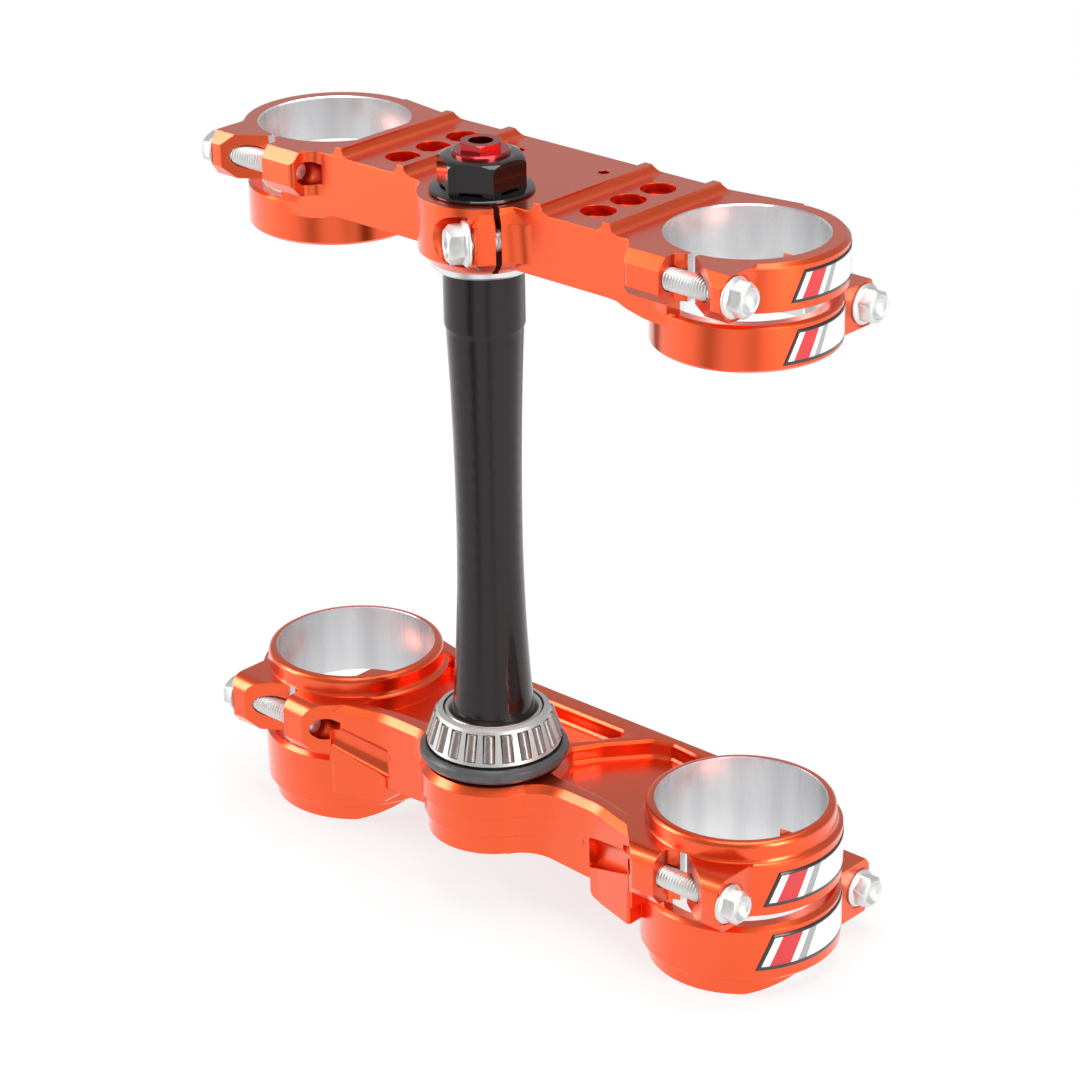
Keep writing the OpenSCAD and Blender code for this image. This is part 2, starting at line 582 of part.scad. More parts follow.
// Hollow plug that closes the nut: flange, low hex and a bore
module stem_cap() {
    flange_d = 20;
    flange_h = 1.4;
    hex_h = 4.2;
    plug_d = stem_bore_d - 0.2;
    color([0.75, 0.13, 0.12]) translate([0, 0, top_z + nut_h]) difference() {
        union() {
            rotate_extrude() polygon([[0, 0], [flange_d / 2, 0], [flange_d / 2, flange_h * 0.6],
                                      [flange_d / 2 - 0.6, flange_h], [0, flange_h]]);
            intersection() {
                rotate(12) cylinder(d = 15.6, h = hex_h, $fn = 6);
                rotate_extrude() polygon([[0, 0], [8, 0], [8, hex_h - 0.7], [7, hex_h], [0, hex_h]]);
            }
            translate([0, 0, 5 - nut_h]) cylinder(d = plug_d, h = nut_h - 4);
        }
        translate([0, 0, -nut_h - 1]) cylinder(d = 8.4, h = nut_h + hex_h + 2);
    }
}

module spacer_ring() {
    r = spacer_d / 2;
    color(silver) translate([0, 0, spacer_z]) difference() {
        rotate_extrude() polygon([[0, 0], [r - 0.8, 0], [r, 0.8], [r, spacer_h], [0, spacer_h]]);
        translate([0, 0, -1]) cylinder(d = stem_top_d, h = spacer_h + 2);
    }
}

// Tapered roller bearing without its outer race: the inner ring's cone, rollers and cage lean in upwards
seal_floor = 3.4;
ring_z = shelf_z + seal_floor;
roller_mid_z = ring_z + ring_h * 0.6;
roller_reach = 6.1;
roller_mid_r = stem_low_d / 2 + roller_reach;

module bearing_inner_ring() {
    low_r = roller_mid_r - roller_d / 2 / cos(roller_tilt) - run_gap;
    slope = tan(roller_tilt);
    cone_half = roller_len * cos(roller_tilt) / 2 + 0.3;
    lip = 1.2;
    top_r = low_r - slope * cone_half;
    top_lip = 0.75;
    color(silver) difference() {
        rotate_extrude() polygon([
            [0, ring_z], [low_r + slope * cone_half + lip, ring_z],
            [low_r + slope * cone_half + lip, roller_mid_z - cone_half - 0.4],
            [low_r + slope * cone_half, roller_mid_z - cone_half - 0.2],
            [top_r, roller_mid_z + cone_half], [top_r + top_lip, roller_mid_z + cone_half + 0.3],
            [top_r + top_lip, ring_z + ring_h - 0.4], [top_r + top_lip - 0.4, ring_z + ring_h], [0, ring_z + ring_h]]);
        translate([0, 0, shelf_z - 1]) cylinder(d = stem_low_d, h = ring_h + 20);
        translate([0, 0, ring_z + ring_h - 1]) cylinder(d1 = stem_low_d, d2 = stem_low_d + 3, h = 1.1);
    }
}

module each_roller() {
    for (i = [0 : roller_count - 1]) rotate(i * 360 / roller_count)
        translate([roller_mid_r, 0, roller_mid_z]) rotate([0, -roller_tilt, 0]) children();
}

module bearing_rollers() {
    small = roller_d * 0.86;
    color([0.55, 0.52, 0.5]) each_roller() rotate_extrude()
        polygon([[0, -roller_len / 2], [roller_d / 2 - 0.3, -roller_len / 2], [roller_d / 2, -roller_len / 2 + 0.3],
                 [small / 2, roller_len / 2 - 0.3], [small / 2 - 0.3, roller_len / 2], [0, roller_len / 2]]);
}

module bearing_cage() {
    wall = 1.1;
    slope = tan(roller_tilt);
    half = roller_len * cos(roller_tilt) / 2 + 1;
    mid_r = roller_mid_r + 0.1;
    top_r = mid_r - slope * half;
    low_r = mid_r + slope * half;
    top_z = roller_mid_z + half;
    inner_r = stem_low_d / 2 + 3.1;
    color(silver) difference() {
        rotate_extrude() polygon([[low_r, roller_mid_z - half], [low_r + wall, roller_mid_z - half],
                                  [top_r + wall + 0.1, top_z - 0.3], [top_r + wall - 0.4, top_z + 0.5],
                                  [inner_r + 0.3, top_z + 1.2], [inner_r, top_z + 1.2], [inner_r, top_z + 0.4],
                                  [top_r - 0.3, top_z - 0.1], [top_r, top_z - 0.6]]);
        each_roller() translate([-5, -roller_d * 0.48, -roller_len / 2 - 0.1])
            cube([12, roller_d * 0.96, roller_len + 0.2]);
        each_roller() translate([0, 0, -roller_len / 2 - 0.1]) cylinder(d = roller_d + 0.16, h = roller_len + 0.2);
    }
}

module bearing_seal() {
    r = roller_mid_r + seal_reach;
    low = shelf_z;
    color([0.13, 0.13, 0.14]) difference() {
        rotate_extrude() polygon([[0, low], [r - 5.4, low], [r - 2.6, low + 1], [r - 1, low + 2.1], [r - 0.2, low + 3.3],
                                  [r, low + 4.4], [r - 0.3, low + 5.7], [r - 1.1, low + 6.6], [r - 1.9, low + 7],
                                  [r - 2.5, low + 6.9], [r - 2.9, low + 6.2], [r - 3.2, low + 4.6],
                                  [r - 4.6, low + seal_floor], [0, low + seal_floor]]);
        translate([0, 0, low - 1]) cylinder(d = stem_low_d, h = 8);
    }
}

module bolt_top_upper_right() {
    color(silver) fork_bolts(top_z - top_band_h / 2, top_bolt_r, top_face_x, false);
}
module bolt_top_upper_left() {
    color(silver) mirror([1, 0, 0]) fork_bolts(top_z - top_band_h / 2, top_bolt_r, top_face_x, false);
}
module bolt_top_lower_right() {
    color(silver) fork_bolts((top_foot_z + top_low_z) / 2, top_bolt_r, top_face_x, true);
}
module bolt_top_lower_left() {
    color(silver) mirror([1, 0, 0]) fork_bolts((top_foot_z + top_low_z) / 2, top_bolt_r, top_face_x, true);
}
module bolt_bottom_upper_right() {
    color(silver) fork_bolts((bottom_band_z + shelf_z) / 2, bottom_bolt_r, bottom_face_x, false);
}
module bolt_bottom_upper_left() {
    color(silver) mirror([1, 0, 0]) fork_bolts((bottom_band_z + shelf_z) / 2, bottom_bolt_r, bottom_face_x, false);
}
module bolt_bottom_lower_right() {
    color(silver) fork_bolts((band_foot_z + bottom_low_z) / 2, bottom_bolt_r, bottom_face_x, true);
}
module bolt_bottom_lower_left() {
    color(silver) mirror([1, 0, 0]) fork_bolts((band_foot_z + bottom_low_z) / 2, bottom_bolt_r, bottom_face_x, true);
}
module stem_pinch_bolt() {
    color(silver) rotate(lug_turn) translate([pinch_r, lug_seat, pinch_z]) rotate(-90) flange_bolt(pinch_len);
}

top_clamp();
bottom_clamp();
steering_stem();
stem_nut();
stem_cap();
spacer_ring();
bearing_inner_ring();
bearing_cage();
bearing_rollers();
bearing_seal();
bolt_top_upper_right();
bolt_top_upper_left();
bolt_top_lower_right();
bolt_top_lower_left();
bolt_bottom_upper_right();
bolt_bottom_upper_left();
bolt_bottom_lower_right();
bolt_bottom_lower_left();
stem_pinch_bolt();
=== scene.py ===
import math

import bmesh
import bpy
import numpy as np
from mathutils import Matrix, Vector
from mathutils.geometry import delaunay_2d_cdt


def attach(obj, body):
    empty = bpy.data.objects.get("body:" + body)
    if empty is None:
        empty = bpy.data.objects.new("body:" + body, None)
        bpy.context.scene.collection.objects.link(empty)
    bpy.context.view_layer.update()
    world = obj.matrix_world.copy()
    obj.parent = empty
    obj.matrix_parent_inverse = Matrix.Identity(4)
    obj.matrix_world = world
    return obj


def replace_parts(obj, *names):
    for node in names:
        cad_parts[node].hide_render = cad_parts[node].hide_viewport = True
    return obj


# The frame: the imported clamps, stem and bearing, with Z up along the steering axis and Y towards the
# fork legs. The origin is at the lower mouth of the stem's bore, and all lengths are in metres.
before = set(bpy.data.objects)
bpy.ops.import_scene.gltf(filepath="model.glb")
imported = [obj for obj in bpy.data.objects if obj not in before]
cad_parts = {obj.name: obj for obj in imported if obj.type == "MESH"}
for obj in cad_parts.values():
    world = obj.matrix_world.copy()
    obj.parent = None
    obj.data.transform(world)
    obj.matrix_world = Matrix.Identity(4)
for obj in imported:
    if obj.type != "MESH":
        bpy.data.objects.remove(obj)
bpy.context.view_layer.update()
MM = 0.001


# Camera: a long lens that stands to the right of the clamps and above them, and looks down at them.
# Its place comes from the four collars' circles in the photograph.
def camera_axes(yaw, pitch, roll):
    """Right, up and backward directions of a camera turned by yaw, then tipped down, then rolled."""
    forward = Vector((-math.sin(yaw) * math.cos(pitch), math.cos(yaw) * math.cos(pitch), -math.sin(pitch)))
    level = Vector((math.cos(yaw), math.sin(yaw), 0))
    upright = level.cross(forward)
    right = level * math.cos(roll) + upright * math.sin(roll)
    up = upright * math.cos(roll) - level * math.sin(roll)
    return right, up, -forward


eye = Vector((757.64, -788.98, 603.74)) * MM
axes = camera_axes(math.radians(42.919), math.radians(24.216), math.radians(-0.918))
camera = bpy.data.cameras.new("camera")
camera.lens = 114.21
camera.sensor_width = 36
camera.clip_start = 0.05
camera.clip_end = 20
camera_obj = bpy.data.objects.new("camera", camera)
turned = Matrix([list(axis) + [0] for axis in axes] + [[0, 0, 0, 1]]).transposed()
camera_obj.matrix_world = Matrix.Translation(eye) @ turned
bpy.context.collection.objects.link(camera_obj)
bpy.context.scene.camera = camera_obj
bpy.context.scene.view_settings.view_transform = "Standard"


# Shader sums: every material of the clamps is worked out from values such as the place on the metal.
# A value adds the Math nodes of the sum it is used in, and add() makes any other node.
class Value:
    """One output socket of a node tree, with the usual operators."""

    def __init__(self, tree, socket):
        self.tree = tree
        self.socket = socket

    def maths(self, operation, *others):
        """A Math node on this value and the others."""
        return add(self.tree, "ShaderNodeMath", {"operation": operation}, dict(enumerate((self, *others))))

    def __add__(self, other):
        return self.maths("ADD", other)

    def __radd__(self, other):
        return self.maths("ADD", other)

    def __sub__(self, other):
        return self.maths("SUBTRACT", other)

    def __rsub__(self, other):
        return self.maths("MULTIPLY", -1) + other

    def __mul__(self, other):
        return self.maths("MULTIPLY", other)

    def __rmul__(self, other):
        return self.maths("MULTIPLY", other)

    def __truediv__(self, other):
        return self.maths("DIVIDE", other)

    def __abs__(self):
        return self.maths("ABSOLUTE")

    def clip(self):
        """The value held between 0 and 1."""
        held = self.maths("ADD", 0.0)
        held.socket.node.use_clamp = True
        return held

    def root(self):
        return self.maths("SQRT")


def add(tree, kind, settings=None, inputs=None, output=0):
    """A new node: its settings first, then the values or links of its sockets. Gives one output."""
    node = tree.nodes.new(kind)
    for name, value in (settings or {}).items():
        setattr(node, name, value)
    for name, value in (inputs or {}).items():
        if isinstance(value, Value):
            tree.links.new(value.socket, node.inputs[name])
        else:
            node.inputs[name].default_value = value
    return Value(tree, node.outputs[output])


def finish_of(name, colour, metallic, roughness, **uniform):
    """A new material and its tree, shader and place on the metal in millimetres."""
    made = bpy.data.materials.new(name)
    made.use_nodes = True
    shader = made.node_tree.nodes["Principled BSDF"]
    shader.inputs["Base Color"].default_value = (*colour, 1)
    shader.inputs["Metallic"].default_value = metallic
    shader.inputs["Roughness"].default_value = roughness
    for socket, value in uniform.items():
        shader.inputs[socket.replace("_", " ")].default_value = value
    tree = made.node_tree
    place = add(tree, "ShaderNodeTexCoord", output="Object")
    scaled = add(tree, "ShaderNodeVectorMath", {"operation": "SCALE"}, {0: place, "Scale": 1000.0})
    return made, tree, shader, scaled


def parts_of(tree, vector):
    """X, Y and Z of a vector, as three values."""
    node = add(tree, "ShaderNodeSeparateXYZ", None, {0: vector}).socket.node
    return [Value(tree, node.outputs[i]) for i in range(3)]


def blend_colours(tree, factor, first, second):
    """The first colour where the factor is 0, the second where it is 1, and a mix of them between."""
    node = add(tree, "ShaderNodeMix", {"data_type": "RGBA"}, {0: factor}).socket.node
    for slot, colour in ((6, first), (7, second)):
        if isinstance(colour, Value):
            tree.links.new(colour.socket, node.inputs[slot])
        else:
            node.inputs[slot].default_value = (*colour, 1)
    return Value(tree, node.outputs[2])


def link(tree, value, shader, name):
    """Joins a value to one of the shader's inputs."""
    tree.links.new(value.socket, shader.inputs[name])


def rounded_edges(tree, radius, bump=None):
    """Normal of edges eased by a small radius, with a bump on top where one is given."""
    edge = add(tree, "ShaderNodeBevel", {"samples": 6}, {"Radius": radius * MM})
    if bump is None:
        return edge
    height, strength = bump
    return add(tree, "ShaderNodeBump", None, {"Strength": strength, "Distance": 0.05 * MM, "Height": height,
                                              "Normal": edge})


def grained(tree, shader, place, scale, detail, gain, least):
    """Links a roughness of the least value plus the gain times a fine noise, and gives the noise."""
    grain = add(tree, "ShaderNodeTexNoise", None, {"Vector": place, "Scale": scale, "Detail": detail})
    link(tree, grain * gain + least, shader, "Roughness")
    return grain


def turning_marks(tree, height, per_mm, detail):
    """Noise that changes with the height alone, as a lathe leaves it, with so many grains in a millimetre."""
    settings = {"noise_dimensions": "1D"}
    return add(tree, "ShaderNodeTexNoise", settings, {"W": height * per_mm, "Scale": 1.0, "Detail": detail})


# Clamps: milled from billet and anodised orange, so the metal shines through the dye under a clear skin.
# The fork bores, their rims and the slits are cut after anodising and stay bright. The right fork leg's axis
# stands at LEG_X and LEG_Y, in millimetres.
LEG_X = 95
LEG_Y = 24
FORK = (LEG_X * MM, LEG_Y * MM)


def arrays_of(mesh):
    """Corners and triangles of a mesh, with the corners of loose triangles merged where they meet."""
    corners = np.empty(len(mesh.vertices) * 3)
    mesh.vertices.foreach_get("co", corners)
    mesh.calc_loop_triangles()
    loops = np.empty(len(mesh.loop_triangles) * 3, int)
    mesh.loop_triangles.foreach_get("vertices", loops)
    kept, index = np.unique(np.round(corners.reshape(-1, 3), 7), axis=0, return_inverse=True)
    triangles = index.ravel()[loops].reshape(-1, 3)
    first, second, third = triangles.T
    whole = (first != second) & (second != third) & (third != first)
    return kept, triangles[whole]


def merged(node):
    """Corners and triangles of a CAD node, as one closed skin."""
    return arrays_of(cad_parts[node].data)


def skin(name, corners, triangles, materials, body, slot):
    """A piece from corners and faces, smooth but for the edges that turn by more than 28 degrees."""
    mesh = bpy.data.meshes.new(name)
    mesh.from_pydata(corners.tolist(), [], triangles.tolist())
    mesh.polygons.foreach_set("use_smooth", np.ones(len(mesh.polygons), bool))
    mesh.set_sharp_from_angle(angle=math.radians(28))
    for material in materials:
        mesh.materials.append(material)
    mesh.update()
    piece = bpy.data.objects.new(name, mesh)
    bpy.context.collection.objects.link(piece)
    weighted = piece.modifiers.new("even_faces", "WEIGHTED_NORMAL")
    weighted.keep_sharp = True
    weighted.weight = 90
    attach(piece, body)
    return piece


def cut_after_dyeing(corners, triangles, bore_r, slits):
    """True for the triangles of the fork bores and slits. A bore's triangles lie at its radius and face its
    axis. A slit's triangles lie on its two walls, look along X and are between the heights given."""
    a, b, c = (corners[triangles[:, i]] / MM for i in range(3))
    middle = (a + b + c) / 3
    normal = np.cross(b - a, c - a)
    normal /= np.maximum(np.linalg.norm(normal, axis=1), 1e-12)[:, None]
    side = np.abs(middle[:, 0]) - FORK[0] / MM
    ahead = middle[:, 1] - FORK[1] / MM
    radius = np.hypot(side, ahead)
    inward = -(normal[:, 0] * np.sign(middle[:, 0]) * side + normal[:, 1] * ahead) / radius
    bare = (np.abs(radius - bore_r) < 1) & (inward > 0.5)
    half_slit = 1.5
    wall = (np.abs(np.abs(side - half_slit) - half_slit) < 0.1) & (np.abs(normal[:, 0]) > 0.99)
    for low, high, in_front in slits:
        bare |= wall & (middle[:, 2] > low) & (middle[:, 2] < high) & ((ahead > 0) == in_front)
    return bare


orange, tree, shader, place = finish_of("anodised_orange", (1.0, 0.12, 0.008), 1.0, 0.3, Coat_Weight=1.0,
                                        Coat_IOR=1.5, Coat_Roughness=0.2)
grain = add(tree, "ShaderNodeTexNoise", None,
            {"Vector": place, "Scale": 0.9, "Detail": 3.0, "Roughness": 0.6})
cloud = add(tree, "ShaderNodeTexNoise", None, {"Vector": place, "Scale": 0.03, "Detail": 2.0})
link(tree, blend_colours(tree, cloud, (0.97, 0.09, 0.006), (1.0, 0.106, 0.01)), shader, "Base Color")
link(tree, grain * 0.05 + 0.27, shader, "Roughness")
link(tree, rounded_edges(tree, 0.45, (grain, 0.015)), shader, "Normal")

bright, tree, shader, place = finish_of("bored_aluminium", (0.86, 0.86, 0.87), 1.0, 0.3, Anisotropic=0.75)
x, y, z = parts_of(tree, place)
side = (abs(x) - FORK[0] / MM) * 0.08
ahead = (y - FORK[1] / MM) * 0.08
around = add(tree, "ShaderNodeCombineXYZ", None, {0: side, 1: ahead, 2: z * 0.002})
# Painted reflection: the bore's base colour is painted with light and dark vertical bands, broad ones and
# fine streaks, where the room's reflection would fall round the bore. The fine streaks also vary the
# roughness.
reflection_and_roughness_streaks = add(tree, "ShaderNodeTexNoise", None, {"Vector": around, "Scale": 2.2, "Detail": 2.0})
marks = turning_marks(tree, z, 9.0, 2.0)
broad_painted_reflection = add(tree, "ShaderNodeTexNoise", None, {"Vector": around, "Scale": 0.9, "Detail": 1.0})
painted_reflection_bands = ((broad_painted_reflection - 0.5) * 3.2 + 0.62).clip() * 0.75 + reflection_and_roughness_streaks * 0.25
link(tree, blend_colours(tree, painted_reflection_bands, (0.66, 0.66, 0.68), (1.0, 1.0, 1.0)), shader, "Base Color")
link(tree, reflection_and_roughness_streaks * 0.16 + marks * 0.05 + 0.17, shader, "Roughness")


# Top clamp: the flatter of the two, milled from one billet with its rear lugs. The cutter's last pass runs
# down the inner side of each lug and leaves a steep wall, with a round corner at the beam's rear face.
def solid(name, rings):
    """A closed mesh through rings of points of equal count, with flat faces on the first and last ring."""
    rows, around = rings.shape[:2]
    index = np.arange(rows * around).reshape(rows, around)
    after = np.roll(index, -1, axis=1)
    sides = np.stack([index[:-1], after[:-1], after[1:], index[1:]], axis=-1).reshape(-1, 4)
    ends = [index[0, ::-1].tolist(), index[-1].tolist()]
    mesh = bpy.data.meshes.new(name)
    mesh.from_pydata((rings.reshape(-1, 3) * MM).tolist(), [], sides.tolist() + ends)
    made = bmesh.new()
    made.from_mesh(mesh)
    bmesh.ops.recalc_face_normals(made, faces=made.faces)
    made.to_mesh(mesh)
    made.free()
    tool = bpy.data.objects.new(name, mesh)
    bpy.context.collection.objects.link(tool)
    return tool


def upright(name, plan, sign, heights):
    """The solid of a plan in millimetres, on the side that the sign gives, between the two heights."""
    rings = [np.column_stack([plan[:, 0] * sign, plan[:, 1], np.full(len(plan), z)]) for z in heights]
    return solid(name, np.stack(rings))


def machined(mesh, steps):
    """The mesh after each step: a tool's solid, which DIFFERENCE takes off the work and UNION adds to it."""
    work = bpy.data.objects.new("work", mesh)
    bpy.context.collection.objects.link(work)
    for tool, operation in steps:
        step = work.modifiers.new("step", "BOOLEAN")
        step.solver = "EXACT"
        step.use_self = True
        step.operation = operation
        step.object = tool
    done = bpy.data.meshes.new_from_object(work.evaluated_get(bpy.context.evaluated_depsgraph_get()))
    for used in [work] + [tool for tool, operation in steps]:
        bpy.data.objects.remove(used)
    done.materials.clear()
    return done


def beside_lug(name, sign):
    """What is cut from a top lug's inner side, through the upper band. Its plan, from the fork leg's axis, is
    an arc about the corner's middle, then the lug's steep wall, a line behind the lug and one beside it."""
    turn = np.radians(np.linspace(90, 10, 9))
    corner_r = 6
    middle_x = -25.4
    middle_y = -37.02
    corner = np.stack([middle_x + corner_r * np.cos(turn), middle_y + corner_r * np.sin(turn)], axis=-1)
    wall_foot = [-17.6, -47]
    outside = [[-40, -47], [-40, -31.02]]
    plan = np.concatenate([corner, [wall_foot], outside]) + (LEG_X, LEG_Y)
    return upright(name, plan, sign, (218.0, 242.0))


billet = bpy.data.meshes.new("top_billet")
corners, triangles = merged("top_clamp")
billet.from_pydata(corners.tolist(), [], triangles.tolist())
steps = [(beside_lug("beside_right_lug", 1), "DIFFERENCE"), (beside_lug("beside_left_lug", -1), "DIFFERENCE")]
corners, triangles = arrays_of(machined(billet, steps))
piece = skin("top_clamp_milled", corners, triangles, [orange, bright], "clamps", "orange_anodised")
bare = cut_after_dyeing(corners, triangles, 27, [(225, 242, False), (203, 221, True)])
piece.data.polygons.foreach_set("material_index", bare.astype(int))
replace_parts(piece, "top_clamp")


# Bottom clamp: the same billet and finish. The last cutters run over it here: one levels the underside of the
# block beside each collar, and a ball-nosed one leaves a rising hollow over that block.
def unfolded(corners, triangles, level):
    """The skin with its level top cut afresh. The top's triangles, some of which fold back over the edge and
    face down, are split where they cross. What more of them cover facing up than facing down is kept."""
    a, b, c = (corners[triangles[:, i]] for i in range(3))
    flat = (np.abs(np.stack([a, b, c])[:, :, 2] - level) < 1e-7).all(0)
    facing = np.sign(np.cross((b - a)[flat][:, :2], (c - a)[flat][:, :2]))
    used, index = np.unique(triangles[flat], return_inverse=True)
    index = index.reshape(-1, 3)
    faces = np.where(facing[:, None] < 0, index[:, ::-1], index)
    points = [Vector(point) for point in (corners[used, :2] / MM).tolist()]
    split = delaunay_2d_cdt(points, [], faces.tolist(), 0, 1e-5)
    places, cells, from_points, from_faces = split[0], split[2], split[3], split[5]
    cover = np.array([facing[over].sum() for over in from_faces])
    number = len(corners) + np.arange(len(places))
    for i, old in enumerate(from_points):
        if old:
            number[i] = used[old[0]]
    added = np.array([[p.x * MM, p.y * MM, level] for p in places])
    top = number[np.array(cells)[cover > 0.5]]
    return np.concatenate([corners, added]), np.concatenate([triangles[~flat], top])


HOLLOW_FROM = 50
HOLLOW_TO = 73.5


def block_wall(x):
    """Y of the block's rear face, which leans back towards the collar."""
    return -6.5 - 0.2684 * (x - 55)


def hollow_middle(x):
    """Z of the hollow's middle, which rises evenly from the hollow's start towards the collar."""
    return 7.9 + 0.3 * (x - HOLLOW_FROM)


def hollow(name, sign):
    """Rings of the hollow along X: half an ellipse in the wall, whose height and depth shrink evenly towards
    the collar. It is closed a little behind the wall's face."""
    x = np.linspace(HOLLOW_FROM, HOLLOW_TO, 8)[:, None]
    turn = np.linspace(-np.pi / 2, np.pi / 2, 17)[None, :]
    share = (x - HOLLOW_FROM) / (HOLLOW_TO - HOLLOW_FROM)
    half_height = 5.9 - 1.3 * share
    depth = 3.8 - 1.6 * share
    middle = hollow_middle(x)
    arc_y = block_wall(x) + depth * np.cos(turn)
    arc_z = middle + half_height * np.sin(turn)
    back = block_wall(x) - 0.9
    y = np.concatenate([back, arc_y, back], axis=1)
    z = np.concatenate([middle - half_height, arc_z, middle + half_height], axis=1)
    return solid(name, np.stack([np.broadcast_to(x, y.shape) * sign, y, z], axis=-1))


def filled(name, sign):
    """Rings along X of the metal that the hollow is cut from, flush with the block's face. Its top follows
    the hollow's upper edge up to the block's own edge."""
    x = np.linspace(HOLLOW_FROM - 1, HOLLOW_TO + 0.3, 6)[:, None]
    inside = np.full_like(x, -1.0)
    low = np.full_like(x, 4.4)
    block_edge = 16.6
    high = np.minimum(block_edge, hollow_middle(x) + 5.6 - 1.3 * (x - HOLLOW_FROM) / 21.3)
    y = np.concatenate([block_wall(x), inside, inside, block_wall(x)], axis=1)
    z = np.concatenate([low, low, high, high], axis=1)
    return solid(name, np.stack([np.broadcast_to(x, y.shape) * sign, y, z], axis=-1))


def under_block(name, sign):
    """What is cut from under the block: its plan is an arc along the collar's wall and a box beside it."""
    turn = np.radians(np.linspace(184, 238, 19))
    wall_r = 35.52
    wall = np.stack([LEG_X + wall_r * np.cos(turn), LEG_Y + wall_r * np.sin(turn)], axis=-1)
    box = [[76, -16], [57, -16], [57, wall[0, 1]]]
    return upright(name, np.concatenate([wall, box]), sign, (-24.0, -9.5))


corners, triangles = merged("bottom_clamp")
x, z = (corners / MM).T[[0, 2]]
web_z = -2.5
slope_from = 20
slope_to = 40
# The underside slopes evenly from the hub down to the web
underside = (np.abs(z - web_z) < 0.01) & (np.abs(x) < slope_to)
slope = np.clip((np.abs(x[underside]) - slope_from) / (slope_to - slope_from), 0, 1)
corners[underside, 2] = web_z * MM * slope
corners, triangles = unfolded(corners, triangles, 27 * MM)
billet = bpy.data.meshes.new("bottom_billet")
billet.from_pydata(corners.tolist(), [], triangles.tolist())
steps = [(under_block("under_right", 1), "DIFFERENCE"), (under_block("under_left", -1), "DIFFERENCE"),
         (filled("filled_right", 1), "UNION"), (filled("filled_left", -1), "UNION"),
         (hollow("hollow_right", 1), "DIFFERENCE"), (hollow("hollow_left", -1), "DIFFERENCE")]
corners, triangles = arrays_of(machined(billet, steps))
piece = skin("bottom_clamp_milled", corners, triangles, [orange, bright], "clamps", "orange_anodised")
bare = cut_after_dyeing(corners, triangles, 30, [(7, 28, False), (-20, 3, True)])
piece.data.polygons.foreach_set("material_index", bare.astype(int))
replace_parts(piece, "bottom_clamp")


# Stem: a drawn aluminium tube with a waist, pressed into the bottom clamp. It is turned, polished and
# anodised nearly black, and faint turning marks still show.
def dressed(node, material, slot, body="clamps"):
    """The merged copy of a CAD node in one material, in the node's place."""
    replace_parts(skin(f"{node}_finished", *merged(node), [material], body, slot), node)


black, tree, shader, place = finish_of("anodised_black", (0.018, 0.011, 0.012), 0.8, 0.3, Coat_Weight=0.4,
                                       Coat_Roughness=0.06, Coat_IOR=1.6)
marks = turning_marks(tree, parts_of(tree, place)[2], 3.0, 3.0)
link(tree, marks * 0.1 + 0.2, shader, "Roughness")
link(tree, rounded_edges(tree, 0.2, (marks, 0.02)), shader, "Normal")
dressed("steering_stem", black, "black_anodised")


# Nut, cap and spacer: a blackened steel nut with a washer face, a red anodised plug in it, and a thin ring
# of bare aluminium under the top clamp.
black_steel, tree, shader, place = finish_of("black_steel", (0.02, 0.017, 0.018), 0.8, 0.2, Coat_Weight=0.9,
                                             Coat_Roughness=0.05)
grained(tree, shader, place, 1.2, 3.0, 0.1, 0.14)
link(tree, rounded_edges(tree, 0.3), shader, "Normal")
dressed("stem_nut", black_steel, "black_steel")
red, tree, shader, place = finish_of("anodised_red", (0.5, 0.012, 0.016), 1.0, 0.25, Coat_Weight=0.6,
                                     Coat_Roughness=0.12, Coat_IOR=1.6)
grained(tree, shader, place, 1.4, 3.0, 0.1, 0.2)
link(tree, rounded_edges(tree, 0.2), shader, "Normal")
dressed("stem_cap", red, "red_anodised")
bare_ring, tree, shader, place = finish_of("turned_aluminium", (0.84, 0.84, 0.85), 1.0, 0.25, Anisotropic=0.6)
marks = turning_marks(tree, parts_of(tree, place)[2], 8.0, 2.0)
link(tree, marks * 0.15 + 0.18, shader, "Roughness")
dressed("spacer_ring", bare_ring, "bare_aluminium")


# Lower bearing: a ground inner ring and rollers in a pressed steel cage, all dulled by a film of grease,
# over a moulded rubber seal with a flared lip.
ground, tree, shader, place = finish_of("ground_steel", (0.72, 0.7, 0.68), 1.0, 0.3)
grained(tree, shader, place, 1.5, 3.0, 0.12, 0.24)
link(tree, rounded_edges(tree, 0.2), shader, "Normal")
dressed("bearing_inner_ring", ground, "bearing_steel")
dark_steel, tree, shader, place = finish_of("roller_steel", (0.3, 0.26, 0.24), 0.9, 0.35)
grain = grained(tree, shader, place, 0.7, 3.0, 0.2, 0.25)
link(tree, blend_colours(tree, grain, (0.22, 0.19, 0.18), (0.42, 0.38, 0.36)), shader, "Base Color")
dressed("bearing_rollers", dark_steel, "bearing_steel", "cage")
pressed, tree, shader, place = finish_of("pressed_steel", (0.62, 0.61, 0.6), 0.85, 0.45)
grained(tree, shader, place, 0.8, 3.0, 0.15, 0.38)
link(tree, rounded_edges(tree, 0.2), shader, "Normal")
dressed("bearing_cage", pressed, "cage_steel", "cage")
rubber, tree, shader, place = finish_of("seal_rubber", (0.06, 0.06, 0.064), 0.0, 0.35, Specular_IOR_Level=0.6)
grain = grained(tree, shader, place, 2.5, 4.0, 0.14, 0.27)
scuffs = add(tree, "ShaderNodeTexNoise", None, {"Vector": place, "Scale": 0.25, "Detail": 3.0})
link(tree, blend_colours(tree, scuffs, (0.035, 0.035, 0.038), (0.1, 0.1, 0.105)), shader, "Base Color")
link(tree, rounded_edges(tree, 0.3, (grain, 0.06)), shader, "Normal")
dressed("bearing_seal", rubber, "black_rubber")


